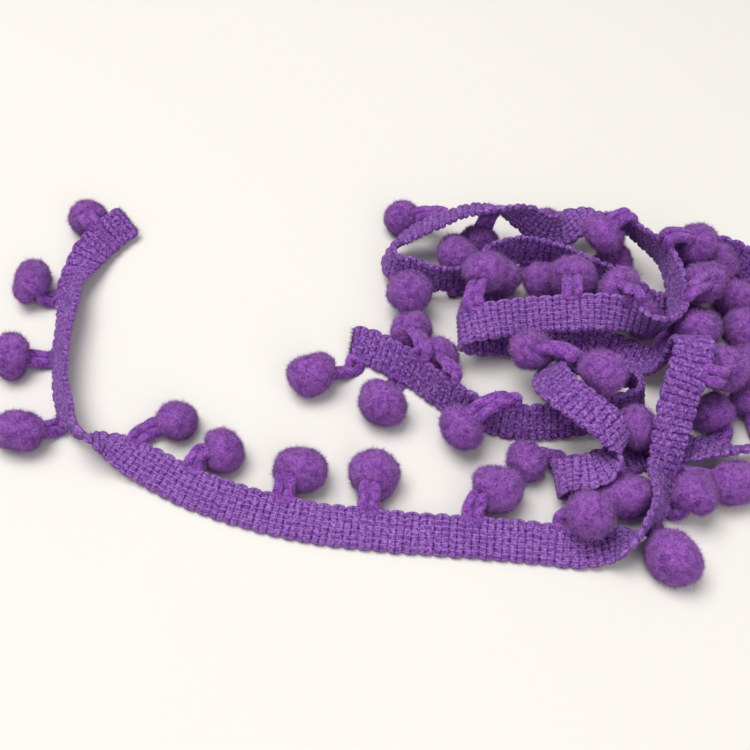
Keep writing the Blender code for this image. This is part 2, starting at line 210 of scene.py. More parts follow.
SHORT_RUN = (
    (48, -15.8, 5.2, 92, 60),
    (40, -16.4, 4.5, 90, 58),
    (33, -16.6, 4.3, 90, 60),
    (25.5, -15, 4.4, 75, 68),
    (19, -11, 4.6, 55, 68),
    (13, -6, 4.5, 52, 64),
    (8, -1, 4.3, 54, 58),
    (2.5, 3, 3.9, 60, 46),
    (-2, 6, 3.4, 75, 38),
    (-5.5, 7, 3.2, 82, 35),
)
FRONT_HALF = FRONT_RUN + RISING_RUN + INNER_BAND + TOP_LOOP + ARCH
BACK_HALF = RIDGE + RIGHT_SIDE + UNDER_LAYER + COIL + SHORT_RUN
ROUTE = FRONT_HALF + BACK_HALF
print(len(ROUTE), "places along the tape")

# %% [markdown]
# ## From places to a ribbon
# A smooth curve runs through the rows, and is then sampled at even steps along its length. The
# step is half a scallop, because each scallop is one full rib and one dip. At each sample three
# directions are known: along the tape, across it to the pompom edge, and out of its face.

# %% Sample the ribbon
SCALLOP = 3.2
CURVE_STEPS = 40
KNOT_POWER = 0.75
TURN_SMOOTHING = 4


def unit(vectors):
    return vectors / np.linalg.norm(vectors, axis=-1, keepdims=True)


def smooth_curve(knots, values, at):
    """Values of a smooth curve through the given values at the given knots."""
    steps = np.diff(knots)[:, None]
    slopes = np.diff(values, axis=0) / steps
    tangents = np.empty_like(values)
    tangents[1:-1] = (slopes[:-1] * steps[1:] + slopes[1:] * steps[:-1]) / (steps[:-1] + steps[1:])
    tangents[0] = slopes[0]
    tangents[-1] = slopes[-1]
    part = np.clip(np.searchsorted(knots, at, side="right") - 1, 0, len(knots) - 2)
    step = steps[part]
    t = ((at - knots[part]) / steps[part, 0])[:, None]
    start = values[part] * (1 + 2 * t) * (1 - t) ** 2 + tangents[part] * step * t * (1 - t) ** 2
    end = values[part + 1] * t * t * (3 - 2 * t) + tangents[part + 1] * step * t * t * (t - 1)
    return start + end


def lay_tape(route, spacing):
    """Even samples of the tape: middle, way along, way to the pompom edge, distance along."""
    rows = np.array(route, float)
    points = rows[:, :3]
    compass = np.radians(rows[:, 3])
    rise = np.radians(rows[:, 4])
    level = np.cos(rise)
    edges = np.stack([level * np.cos(compass), level * np.sin(compass), np.sin(rise)], axis=1)
    chords = np.linalg.norm(np.diff(points, axis=0), axis=1)
    knots = np.concatenate([[0], np.cumsum(chords**KNOT_POWER)])
    fine = np.linspace(0, knots[-1], CURVE_STEPS * len(rows))
    path = smooth_curve(knots, points, fine)
    walked = np.concatenate([[0], np.cumsum(np.linalg.norm(np.diff(path, axis=0), axis=1))])
    along = np.linspace(0, walked[-1], int(round(walked[-1] / spacing)) + 1)
    at = np.interp(along, walked, fine)
    middle = smooth_curve(knots, points, at)
    way = unit(np.gradient(middle, along, axis=0))
    edge = smooth_curve(knots, edges, at)
    edge = unit(edge - (edge * way).sum(axis=1, keepdims=True) * way)
    for _ in range(TURN_SMOOTHING):
        edge[1:-1] = edge[:-2] + 2 * edge[1:-1] + edge[2:]
        edge = unit(edge - (edge * way).sum(axis=1, keepdims=True) * way)
    return middle, way, edge, along


middle, way, edge, along = lay_tape(ROUTE, SCALLOP / 2)
print("tape length in mm:", round(float(along[-1]), 1), "samples:", len(along))

# %% [markdown]
# ## Meeting the CAD frame
# The route has its own origin. The CAD part was moved so that its footprint is centred, so the
# two differ by one shift. It is found by comparing the tape's box in the CAD with the same
# ribbon made here.

# %% Find the shift between the route and the CAD
PEAK_HALF_WIDTH = 4.6
PEAK_HALF_THICKNESS = 0.82
VALLEY_HALF_WIDTH = 4.05
VALLEY_HALF_THICKNESS = 0.58


def ribbon_corners():
    """The four corners of the CAD tape at each sample, in the route's own millimetres."""
    rib = (np.arange(len(middle)) % 2)[:, None]
    width = np.where(rib, PEAK_HALF_WIDTH, VALLEY_HALF_WIDTH) * edge
    thickness = np.where(rib, PEAK_HALF_THICKNESS, VALLEY_HALF_THICKNESS) * np.cross(way, edge)
    sides = [width + thickness, width - thickness, thickness - width, -width - thickness]
    return np.concatenate([middle + side for side in sides])


tape_low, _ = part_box("tape")
shift = np.array(tape_low)[:2] / MM - ribbon_corners().min(axis=0)[:2]
shift = np.array([shift[0], shift[1], 0])
print("shift in mm:", shift.round(2))

# %% [markdown]
# ## The camera
# The photograph looks down at the table at about 53 degrees, from close by. The lens is given
# by its focal length in pixels of the photograph, which is 750 pixels wide.

# %% Place the camera
PHOTO_SIDE = 750
FOCAL_PIXELS = 1050
SENSOR = 36
CAMERA_PLACE = (0, -150.7, 200)
CAMERA_PITCH = 53
NEAREST_SEEN = 10

camera_data = bpy.data.cameras.new("camera")
camera_data.sensor_width = SENSOR
camera_data.lens = SENSOR * FOCAL_PIXELS / PHOTO_SIDE
camera_data.clip_start = NEAREST_SEEN * MM
camera = bpy.data.objects.new("camera", camera_data)
camera.location = (np.array(CAMERA_PLACE) + shift) * MM
camera.rotation_euler = (math.radians(90 - CAMERA_PITCH), 0, 0)
bpy.context.scene.collection.objects.link(camera)
bpy.context.scene.camera = camera
print("lens in mm:", round(camera_data.lens, 1))

# %% [markdown]
# ## Where each pompom comes to rest
# A pompom hangs from its root on the tape's edge by a loop that bends at a knee. The table says
# where each would like to lie. They are then pushed apart, off the tape and up from the table,
# while the loops hold them within reach. This is a small simulation of balls on strings. It
# uses no chance, so it ends in the same places as in the CAD part.

# %% The pompoms
# Each row is a pompom: distance along the tape, edge it hangs from, radius, then where it
# would lie if nothing were in its way, with z 0 for on the table.
POMPOMS = (
    (9, 1, 5.1, -72, 46, 0),
    (27, 1, 5, -84.5, 25.5, 0),
    (45, 1, 5.2, -86, 2.5, 0),
    (64, 1, 5.2, -79.5, -19, 0),
    (86, 1, 4.7, -45, -16, 0),
    (102, 1, 5, -34, -24.5, 0),
    (122, 1, 5.5, -17, -31.5, 0),
    (141, 1, 5.5, 0, -30.5, 0),
    (165, 1, 5.6, 26, -35, 0),
    (183, 1, 5, 44.5, -42.5, 9),
    (207, 1, 5.8, 61.5, -50.5, 0),
    (213, 1, 4.9, 66.5, -35, 0),
    (219, 1, 5.3, 76, -32, 0),
    (241, 1, 5.4, 78, -9, 11),
    (266, 1, 5, 73.5, 5, 11),
    (286, 1, 4.8, 52.5, 19, 0),
    (297, 1, 5, 24.5, 16.5, 0),
    (322, 1, 5.5, 27, 20.5, 12),
    (345, 1, 5.2, 48, 20.5, 10),
    (358, 1, 4.9, 60, 13, 12),
    (374, 1, 5.1, 79.5, 19, 12),
    (387, 1, 5, 80.5, 28.5, 11),
    (402, 1, 5.2, 58, 35.5, 12.5),
    (424, 1, 5, 45, 44, 0),
    (439, 1, 4.9, 26, 39.5, 0),
    (456, 1, 5.1, 7.5, 48.5, 0),
    (483, 1, 5.3, 10.5, 19, 0),
    (495, 1, 5.4, 21, 32.5, 0),
    (508, 1, 5, 31, 25, 6.5),
    (516, 1, 5, 40, 26.5, 0),
    (529, 1, 5, 60, 33.5, 0),
    (545, 1, 4.7, 64.5, 12.5, 0),
    (560, 1, 5, 81, 11, 0),
    (577, 1, 5, 88.5, 31, 8),
    (594, 1, 5, 89, 23, 0),
    (611, 1, 5.1, 85.5, 10, 0),
    (630, 1, 5, 87, 1, 0),
    (648, 1, 5, 86.5, -8.5, 0),
    (662, 1, 5, 76, -16.5, 0),
    (673, 1, 4.8, 58, -20.5, 8),
    (700, 1, 4.5, 34, -26.5, 0),
    (717, 1, 5.6, 55, -37.5, 9.5),
    (753, 1, 4.8, 34.5, -2, 9.5),
    (762, 1, 5, 51, -11, 12),
    (809, 1, 5.2, 17.5, -20, 0),
    (822, 1, 5, 16.5, -0.5, 0),
    (832, 1, 4.8, 10.5, 9.5, 0),
    (836, -1, 5.3, 1.5, -10.5, 0),
    (849, -1, 5.4, -14.5, -3, 0),
)
print(len(POMPOMS), "pompoms")

# %% Push balls apart
CLEARANCE = 0.3
LOOKING_ROOM = 2.5
OWN_ROOT = 3.5


def push_pairs_apart(places, radii, pompoms):
    """Moves each pair of balls that is too close apart by half of what is missing."""
    gaps = places[:, None] - places[None]
    distance = np.linalg.norm(gaps, axis=2)
    needed = radii[:, None] + radii[None] + CLEARANCE
    close = distance < needed
    np.fill_diagonal(close, False)
    for own in range(pompoms):
        close[own, own + pompoms] = False
        close[own + pompoms, own] = False
    first, second = np.nonzero(close)
    away = gaps[first, second] / distance[first, second][:, None]
    np.add.at(places, first, away * (needed - distance)[first, second][:, None] / 2)


def tape_nearby(places, needed, roots, skin, skin_along):
    """For each ball the parts of the tape that it can reach, a loop's own root left out."""
    nearby = []
    for number, place in enumerate(places):
        near = np.abs(skin - place).max(axis=1) < needed[number] + LOOKING_ROOM
        if number >= len(roots):
            near &= np.abs(skin_along - roots[number - len(roots)]) > OWN_ROOT
        nearby.append(skin[near])
    return nearby


def push_off_tape(places, needed, nearby):
    """Moves each ball off the closest part of the tape."""
    for number, parts in enumerate(nearby):
        if not len(parts):
            continue
        away = places[number] - parts
        distance = np.linalg.norm(away, axis=1)
        closest = distance.argmin()
        if distance[closest] < needed[number]:
            places[number] += away[closest] * (needed[number] / distance[closest] - 1)


def hold_between(points, anchors, reach):
    """The points brought to a distance within reach of their anchors."""
    away = points - anchors
    distance = np.linalg.norm(away, axis=1, keepdims=True)
    return anchors + away / distance * np.clip(distance, *reach)


# %% Settle them
ROOT_GAP = 0.55
RESTING_HEIGHT = 0.82
YARN_HALF = 0.8
KNEE_RADIUS = 1.9
KNEE_REACH = (2.4, 5.0)
POMPOM_REACH = (6.4, 9.5)
KNEE_OUT = 0.8
SETTLING_STEPS = 700
PULLED_STEPS = 450
LOOK_AGAIN = 20
PULL = 0.05
FIRST_KNEE_OUT = 1.6
FIRST_KNEE_SHARE = 0.35
SLACK_TO_POMPOM = 0.6
SKIN_ROWS = 9


def settle_pompoms(middle, edge, along):
    """Where each pompom and its loop's knee come to lie, off the tape, the table and each other."""
    table = np.array(POMPOMS, float)
    roots = table[:, 0]
    radius = table[:, 2]
    wanted = table[:, 3:]
    wanted[:, 2] = np.maximum(wanted[:, 2], RESTING_HEIGHT * radius)
    # The samples with odd numbers are the ribs. A loop hangs from the rib nearest to its root.
    place = 1 + 2 * np.abs(along[1::2, None] - roots).argmin(axis=0)
    outward = edge[place] * table[:, 1:2]
    foot = middle[place] + outward * (PEAK_HALF_WIDTH + ROOT_GAP + YARN_HALF)
    across = np.linspace(-PEAK_HALF_WIDTH, PEAK_HALF_WIDTH, SKIN_ROWS)
    skin = (middle[:, None] + across[None, :, None] * edge[:, None]).reshape(-1, 3)
    skin_along = np.repeat(along, len(across))
    pompoms = len(roots)
    radii = np.concatenate([radius, np.full(pompoms, KNEE_RADIUS)])
    needed = radii + PEAK_HALF_THICKNESS + CLEARANCE
    ball = wanted.copy()
    knee = foot + outward * FIRST_KNEE_OUT + FIRST_KNEE_SHARE * (wanted - foot)
    for step in range(SETTLING_STEPS):
        if step < PULLED_STEPS:
            ball += PULL * (wanted - ball)
        places = np.concatenate([ball, knee])
        push_pairs_apart(places, radii, pompoms)
        if step % LOOK_AGAIN == 0:
            nearby = tape_nearby(places, needed, roots, skin, skin_along)
        push_off_tape(places, needed, nearby)
        places[:, 2] = np.maximum(places[:, 2], RESTING_HEIGHT * radii)
        ball = places[:pompoms]
        knee = hold_between(places[pompoms:], foot, KNEE_REACH)
        out = ((knee - foot) * outward).sum(axis=1, keepdims=True)
        knee = knee + outward * np.maximum(0, KNEE_OUT - out)
        slack = ball - hold_between(ball, knee, POMPOM_REACH)
        ball = ball - SLACK_TO_POMPOM * slack
        knee = knee + (1 - SLACK_TO_POMPOM) * slack
    return place, foot, knee, ball, radius


root_sample, foot, knee, ball, ball_radius = settle_pompoms(middle, edge, along)
print("lowest ball middle in mm:", round(float(ball[:, 2].min()), 2))

# %% [markdown]
# ## Making meshes from arrays
# The weave and the pile need many small faces, so they are worked out as arrays of points and
# given to Blender in one go. A mark is a value kept at each point, which a material can read.

# %% A piece from arrays
def make_piece(name, points, quads, triangles, material, marks, normals=None):
    """A smooth mesh object from points in the route's millimetres, its faces and its marks."""
    mesh = bpy.data.meshes.new(name)
    corners = np.concatenate([quads.ravel(), triangles.ravel()]).astype(np.int32)
    quad_starts = 4 * np.arange(len(quads))
    triangle_starts = 4 * len(quads) + 3 * np.arange(len(triangles))
    starts = np.concatenate([quad_starts, triangle_starts]).astype(np.int32)
    mesh.vertices.add(len(points))
    mesh.vertices.foreach_set("co", ((points + shift) * MM).astype(np.float32).ravel())
    mesh.loops.add(len(corners))
    mesh.loops.foreach_set("vertex_index", corners)
    mesh.polygons.add(len(starts))
    mesh.polygons.foreach_set("loop_start", starts)
    mesh.polygons.foreach_set("use_smooth", np.ones(len(starts), bool))
    for label, values in marks.items():
        kind, field = ("FLOAT_VECTOR", "vector") if values.ndim == 2 else ("FLOAT", "value")
        layer = mesh.attributes.new(label, kind, "POINT")
        layer.data.foreach_set(field, values.astype(np.float32).ravel())
    mesh.materials.append(material)
    mesh.update(calc_edges=True)
    if normals is not None:
        mesh.normals_split_custom_set_from_vertices(normals.tolist())
    piece = bpy.data.objects.new(name, mesh)
    bpy.context.scene.collection.objects.link(piece)
    return piece


NO_QUADS = np.zeros((0, 4), int)


# %% Soft random swells
SWELL_WAVES = 14
SWELL_SPREAD = (0.7, 1.4)


def swells(points, wavelength, seed):
    """A smooth random value at each point, mostly between -1 and 1."""
    chance = np.random.default_rng(seed)
    ways = unit(chance.normal(size=(SWELL_WAVES, 3)))
    lengths = wavelength * chance.uniform(*SWELL_SPREAD, SWELL_WAVES)
    phases = chance.uniform(0, TURN, SWELL_WAVES)
    waves = np.sin(TURN * points @ (ways / lengths[:, None]).T + phases)
    return waves.sum(axis=1) / math.sqrt(SWELL_WAVES)


# %% [markdown]
# ## Materials as sums
# A material's colour and bump are sums of patterns. The first class below wraps one output
# socket, so that `1 - mask` or `height * 2` can be written as Python and adds the Math node for
# it. The second one holds a material, its shader, and one method that makes any other node.
# A mask is a share from 0 to 1 that says where one colour gives way to another.

# %% A socket that can be reckoned with
class Value:
    """An output socket of a finish. Adding, taking away or multiplying makes Math nodes."""

    def __init__(self, finish, socket):
        self.finish = finish
        self.socket = socket

    def math(self, operation, first, second):
        return self.finish.node("ShaderNodeMath", {"operation": operation}, {0: first, 1: second})

    def __add__(self, other):
        return self.math("ADD", self, other)

    def __sub__(self, other):
        return self.math("SUBTRACT", self, other)

    def __rsub__(self, other):
        return self.math("SUBTRACT", other, self)

    def __mul__(self, other):
        return self.math("MULTIPLY", self, other)

    def __pow__(self, other):
        return self.math("POWER", self, other)

    def __abs__(self):
        return self.math("ABSOLUTE", self, 0)


# %% A finish and its nodes
class Finish:
    """A material with a Principled shader and the nodes that feed it."""

    def __init__(self, name, constants):
        self.material = bpy.data.materials.new(name)
        self.material.use_nodes = True
        self.tree = self.material.node_tree
        self.shader = self.tree.nodes["Principled BSDF"]
        for socket, value in constants.items():
            self.shader.inputs[socket].default_value = value

    def node(self, kind, settings, sockets, output=0):
        """A new node: its settings first, then its sockets' values or links."""
        made = self.tree.nodes.new(kind)
        for setting, value in settings.items():
            setattr(made, setting, value)
        for socket, value in sockets.items():
            if isinstance(value, Value):
                self.tree.links.new(value.socket, made.inputs[socket])
            else:
                made.inputs[socket].default_value = value
        return Value(self, made.outputs[output])

    def feed(self, socket, value):
        self.tree.links.new(value.socket, self.shader.inputs[socket])

    def mark(self, label):
        """The number kept at the mesh's points under this name."""
        return self.node("ShaderNodeAttribute", {"attribute_name": label}, {}, "Fac")

    def sine(self, value):
        return self.node("ShaderNodeMath", {"operation": "SINE"}, {0: value})

    def only_positive(self, value):
        """The value kept between 0 and 1."""
        return self.node("ShaderNodeClamp", {}, {"Value": value}, "Result")

    def falling(self, value, start, slope):
        """A mask that is highest where the value is 0, and falls as it grows."""
        return self.only_positive(start - value * slope)

    def rising(self, value, slope, start):
        """A mask that is 0 where the value is small, and then grows with it."""
        return self.only_positive(value * slope - start)

    def noise(self, scale, detail):
        """A cloudy pattern of this many swells to the metre."""
        place = self.node("ShaderNodeTexCoord", {}, {}, "Object")
        sockets = {"Vector": place, "Scale": scale, "Detail": detail}
        return self.node("ShaderNodeTexNoise", {}, sockets, "Fac")

    def mix(self, share, first, second):
        """Two colours mixed by a share from 0 to 1."""
        # The node has sockets for each type of data. These are its share and its two colours.
        sockets = {0: share, 6: first, 7: second}
        return self.node("ShaderNodeMix", {"data_type": "RGBA"}, sockets, 2)

    def bump(self, height, depth):
        """Feeds the normal with a relief of this depth in metres."""
        sockets = {"Height": height, "Distance": depth}
        self.feed("Normal", self.node("ShaderNodeBump", {}, sockets))


# %% [markdown]
# ## The yarn of the tape
# The tape is woven from soft dyed acrylic yarn: matte and a little fuzzy. Its relief is in the mesh, and
# the finish adds what is finer: the small pillow of each float, the chain lines between the rows, and
# single fibres. The finish also paints shade into the dips between the floats, into the row grooves
# beside the chain lines and into the fine pits. `passes` and `rows` are marks that count weft passes
# along the tape and rows across it, and `front` is 1 on the face that shows the chain lines.

# %% Tape finish
# A painted shade purple for the dips between floats, the row grooves beside the chain lines and the fine
# pits; the yarn's own purple; and a lighter purple for the light specks and the chain lines.
PAINTED_SHADE_PURPLE = (0.035, 0.009, 0.105, 1)
TAPE_PURPLE = (0.168, 0.051, 0.322, 1)
TAPE_LIGHT = (0.46, 0.21, 0.67, 1)
CLOTH = {
    "Roughness": 0.9,
    "Specular IOR Level": 0.2,
    "Sheen Weight": 0.35,
    "Sheen Roughness": 0.4,
    "Sheen Tint": (0.74, 0.45, 1.0, 1),
}
# Each noise is its swells to the metre and its detail.
FIBRE_NOISE = (4200, 4)
MOTTLE_NOISE = (1500, 3)
CLOUD_NOISE = (160, 2)
# A falling mask is its start and slope, and a rising one its slope and start.
CHAIN_FALL = (1.25, 2.1)
CHAIN_GROOVE_SHADE_FALL = (1.15, 1.4)
PIT_SHADE_FALL = (1.7, 3.4)
LIT_RISE = (4, 1.75)
LIT_EVENLY = 0.35
GROOVE_SHADE_GAIN = 1.1
GROOVE_SHADE_LEVEL = 0.15
CHAIN_FULLNESS = 0.3
CHAIN_SHARE = 0.8
CHAIN_GROOVE_SHADE_SHARE = 0.4
PILLOW_FULLNESS = 0.5
PILLOW_ROWS = (0.4, 0.6)
PILLOW_RELIEF = 0.9
CHAIN_RELIEF = 0.4
MOTTLE_RELIEF = 0.6
FIBRE_RELIEF = 0.4
TAPE_RELIEF = 0.0004


def make_tape_finish():
    finish = Finish("tape_yarn_woven", CLOTH)
    passes = abs(finish.sine(finish.mark("passes") * math.pi))
    rows = abs(finish.sine(finish.mark("rows") * math.pi))
    scallop = abs(finish.sine(finish.mark("passes") * (math.pi / 2)))
    chain = finish.falling(rows, *CHAIN_FALL) * (passes ** CHAIN_FULLNESS) * finish.mark("front")
    # Painted shade beside the chain lines, in the grooves between the rows.
    chain_groove_shade = finish.falling(rows, *CHAIN_GROOVE_SHADE_FALL) * finish.mark("front")
    fibres = finish.noise(*FIBRE_NOISE)
    mottle = finish.noise(*MOTTLE_NOISE)
    cloud = finish.noise(*CLOUD_NOISE)
    # Painted shade in the dips between the weft passes, deepest at the scallop dips.
    groove_unshaded = finish.only_positive(passes * (scallop * GROOVE_SHADE_GAIN + GROOVE_SHADE_GAIN) - GROOVE_SHADE_LEVEL)
    floats = finish.mix(groove_unshaded, PAINTED_SHADE_PURPLE, TAPE_PURPLE)
    lit = finish.mix(finish.rising(mottle, *LIT_RISE) * (cloud + LIT_EVENLY), floats, TAPE_LIGHT)
    chain_groove_shaded = finish.mix(chain_groove_shade * CHAIN_GROOVE_SHADE_SHARE, lit, PAINTED_SHADE_PURPLE)
    chained = finish.mix(chain * CHAIN_SHARE, chain_groove_shaded, TAPE_LIGHT)
    # Painted shade in the fine pits, where the fibres' relief is low.
    pit_shaded = finish.mix(finish.falling(fibres, *PIT_SHADE_FALL), chained, PAINTED_SHADE_PURPLE)
    finish.feed("Base Color", pit_shaded)
    by_row, everywhere = PILLOW_ROWS
    pillow = (passes ** PILLOW_FULLNESS) * (rows * by_row + everywhere)
    weave = pillow * PILLOW_RELIEF + chain * CHAIN_RELIEF
    finish.bump(weave + mottle * MOTTLE_RELIEF + fibres * FIBRE_RELIEF, TAPE_RELIEF)
    return finish.material


tape_finish = make_tape_finish()
print("tape finish nodes:", len(tape_finish.node_tree.nodes))

# %% [markdown]
# ## The tape
# On the real tape each weft yarn crosses, turns at the edge and comes back, and the turn makes
# one scallop. Seven rows of floats show across the face. A flat strip with a picture of a weave
# would look flat wherever the tape stands on edge, so the strip is a closed shell with four
# points along each weft pass and three across each row: enough for every float to stand proud.

# %% Points along and across
STEPS_PER_RIB = 4
ROWS = 7
STEPS_PER_ROW = 3
ROW_EDGE = 0.93
FACE_HALF_THICKNESS = 0.86
PASS_DIP = 0.36
SCALLOP_DIP = 0.12
ROW_DIP = 0.22
FLOAT_UNEVEN = 0.045
LOBE_UNEVEN = 0.13
WANDER = 0.1
WANDER_LENGTH = 2.6
FLOAT_FULLNESS = 0.7
LOBE_FULLNESS = 0.55
ROW_SHARPNESS = 2.2
BRICK_SHARE = 0.5
RIM_POWER = 6
RIM_THIN = 0.35
RIM_BEAD = 0.5
TAPE_SEED = 3
WANDER_SEED = 5

fine_index = np.arange(STEPS_PER_RIB * (len(along) - 1) + 1)
fine_along = np.interp(fine_index / STEPS_PER_RIB, np.arange(len(along)), along)
fine_middle = smooth_curve(along, middle, fine_along)
fine_edge = smooth_curve(along, edge, fine_along)
fine_way = unit(np.gradient(fine_middle, fine_along, axis=0))
fine_edge = unit(fine_edge - (fine_edge * fine_way).sum(axis=1, keepdims=True) * fine_way)
fine_face = np.cross(fine_way, fine_edge)
scallops = fine_index / (2 * STEPS_PER_RIB)
print(len(fine_index), "sections, one every", round(float(fine_along[1]), 2), "mm")


# %% One ring of points round the tape
def tape_ring():
    """Across, side and row of each point of a ring: up the front face and back along the other."""
    rows = np.linspace(0, ROWS, ROWS * STEPS_PER_ROW + 1)
    across = ROW_EDGE * (2 * rows / ROWS - 1)
    front = [(place, 1, row) for place, row in zip(across, rows)]
    back = [(place, -1, row) for place, row in zip(across[::-1], rows[::-1])]
    return np.array([(-1, 0, 0), *front, (1, 0, ROWS), *back])


def tape_points(ring):
    """Points of the shell: scalloped at its edges, raised at each float, and a little uneven."""
    chance = np.random.default_rng(TAPE_SEED)
    lobe = np.abs(np.sin(math.pi * scallops))[:, None]
    pass_number = np.floor(2 * scallops).astype(int)
    uneven = FLOAT_UNEVEN * chance.normal(size=(pass_number.max() + 1, 2 * len(ring)))
    lobe_size = 1 + LOBE_UNEVEN * chance.normal(size=(pass_number.max() + 1, 2))
    pass_wave = np.abs(np.sin(TURN * scallops))[:, None] ** FLOAT_FULLNESS
    across, side, row = ring.T
    odd_row = np.floor(row) % 2
    bricks = np.abs(np.sin(TURN * scallops[:, None] + math.pi / 2 * odd_row)) ** FLOAT_FULLNESS
    row_wave = np.minimum(1, ROW_SHARPNESS * np.abs(np.sin(math.pi * row)))
    floats = np.where(side > 0, pass_wave, (1 - BRICK_SHARE) * pass_wave + BRICK_SHARE * bricks)
    size = lobe_size[pass_number // 2][:, (across > 0).astype(int)]
    scallop_depth = (PEAK_HALF_WIDTH - VALLEY_HALF_WIDTH) * size
    half_width = VALLEY_HALF_WIDTH + scallop_depth * lobe**LOBE_FULLNESS
    height = FACE_HALF_THICKNESS - PASS_DIP * (1 - floats) - SCALLOP_DIP * (1 - lobe) ** 2
    cell = (np.floor(row) + len(ring) * (side > 0)).astype(int)
    height = height + uneven[pass_number][:, cell] * floats
    rim = np.abs(across) ** RIM_POWER
    height = height - ROW_DIP * (1 - row_wave) * (side != 0)
    height = height * (1 - RIM_THIN * rim + RIM_BEAD * rim * lobe)
    wander = WANDER * swells(fine_middle, WANDER_LENGTH, WANDER_SEED)[:, None] * (1 - across**2)
    points = fine_middle[:, None] + (half_width * across + wander)[..., None] * fine_edge[:, None]
    return (points + (height * side)[..., None] * fine_face[:, None]).reshape(-1, 3)


def ring_faces(rings, sides):
    """Four-sided faces between rings of points."""
    here = np.arange((rings - 1) * sides).reshape(rings - 1, sides)
    beside = np.roll(here, -1, axis=1)
    return np.stack([here, beside, beside + sides, here + sides], axis=-1).reshape(-1, 4)


def cap_faces(rings, sides):
    """Triangles that close the first and the last ring."""
    fan = np.arange(1, sides - 1)
    first = np.stack([np.zeros_like(fan), fan + 1, fan], axis=1)
    last = np.stack([np.zeros_like(fan), fan, fan + 1], axis=1) + (rings - 1) * sides
    return np.concatenate([first, last])


# %% Make the tape
ring = tape_ring()
points = tape_points(ring)
points[:, 2] = np.maximum(points[:, 2], 0)
tape_shell = points.reshape(len(fine_index), len(ring), 3)
marks = {
    "passes": np.repeat(2 * scallops, len(ring)),
    "rows": np.tile(ring[:, 2], len(fine_index)),
    "front": np.tile((ring[:, 1] > 0).astype(float), len(fine_index)),
}
tape = make_piece(
    "woven_tape",
    points,
    ring_faces(len(fine_index), len(ring)),
    cap_faces(len(fine_index), len(ring)),
    tape_finish,
    marks,
)
print("tape faces:", len(tape.data.polygons))

# %% [markdown]
# ## Loose fibres
# Soft yarn is never clean-edged: short fibres stand off it, and they are what the eye reads as
# wool. Hair could make them, but hair is lost when the part is exported. So each fibre is one
# thin triangle, wide at its root. Its normal is the surface's own, turned a little to the sky:
# a real fibre is round and lets light through, so it is never as dark as the yarn under it.
# Each fibre also gets a share of painted light by chance. Its tip has it in full, as a painted
# highlight, and its root only in small part, which paints shade at the root.

# %% Fibres from roots
FIBRE_WIDTH = 0.06
SKYWARD = 0.45
# The range of painted light that each fibre gets by chance.
PAINTED_LIGHT_RANGE = (-0.3, 1.5)
# The share of its painted light that each corner of a fibre has: the two at its root, then its tip. The
# low share at the root paints shade there.
FIBRE_PAINTED_LIGHT = (0.2, 0.2, 1.0)
# The least height of a pompom or a fibre over the table, in mm.
TABLE_GAP = 0.01


def make_fibres(roots, outward, lengths, lean, chance):
    """Points, faces, normals and painted light of thin triangles that stand on the roots."""
    loose = chance.normal(size=roots.shape)
    ways = unit(outward + lean * loose)
    across = unit(np.cross(ways, chance.normal(size=roots.shape)))
    half = 0.5 * FIBRE_WIDTH * across
    corners = np.stack([roots - half, roots + half, roots + ways * lengths[:, None]], axis=1)
    faces = np.arange(3 * len(roots)).reshape(-1, 3)
    shade = unit(outward + SKYWARD * np.array([0, 0, 1]))
    away = (np.cross(across, ways) * shade).sum(axis=1) < 0
    faces[away] = faces[away][:, [1, 0, 2]]
    painted_light = chance.uniform(*PAINTED_LIGHT_RANGE, (len(roots), 1)) * FIBRE_PAINTED_LIGHT
    return corners.reshape(-1, 3), faces, np.repeat(shade, 3, axis=0), painted_light.ravel()


# %% [markdown]
# ## The pile of the pompoms
# A pompom is a bundle of yarn cut to a ball, so its surface is the cut ends of thousands of fibres. Seen
# closely it is a soft felt: light where the tips catch the light, dark between them, and the finish
# paints this light and shade. It goes from a painted shade purple to a full purple with a fine grain,
# darker where the grain's relief is low, on to a painted highlight by the mark of painted light on each
# fibre, and back to the painted shade in the hollows between the tufts.

# %% Pompom finish
# A painted shade purple for the grain's pits and the hollows between the tufts, the pile's own purple,
# and a painted highlight purple for the fibre tips.
PILE_SHADE = (0.075, 0.016, 0.19, 1)
PILE_PURPLE = (0.335, 0.1, 0.53, 1)
PILE_HIGHLIGHT = (0.8, 0.32, 1.0, 1)
GRAIN_NOISE = (2300, 4)
TUFT_NOISE = (650, 3)
GRAIN_SHADE_RISE = (3.2, 1.0)
HOLLOW_SHADE_FALL = (1.42, 2.6)
TIPS_EVENLY = 0.4
GRAIN_RELIEF = 0.6
TUFT_RELIEF = 1.4
PILE_RELIEF = 0.0006
PILE_SHEEN = 0.5


def make_pile_finish():
    finish = Finish("pompom_pile_cut", CLOTH)
    finish.shader.inputs["Sheen Weight"].default_value = PILE_SHEEN
    cloud = finish.noise(*CLOUD_NOISE)
    grain = finish.noise(*GRAIN_NOISE)
    tufts = finish.noise(*TUFT_NOISE)
    # Painted shade where the grain's relief is low.
    body = finish.mix(finish.rising(grain, *GRAIN_SHADE_RISE), PILE_SHADE, PILE_PURPLE)
    # Painted highlight on the fibre tips, by the mark of painted light.
    painted_light_share = finish.only_positive(finish.mark("painted_light") * (cloud + TIPS_EVENLY))
    highlighted_tips = finish.mix(painted_light_share, body, PILE_HIGHLIGHT)
    # Painted shade in the hollows between the tufts.
    finish.feed("Base Color", finish.mix(finish.falling(tufts, *HOLLOW_SHADE_FALL), highlighted_tips, PILE_SHADE))
    finish.bump(grain * GRAIN_RELIEF + tufts * TUFT_RELIEF, PILE_RELIEF)
    return finish.material


pile_finish = make_pile_finish()
print("pile finish nodes:", len(pile_finish.node_tree.nodes))

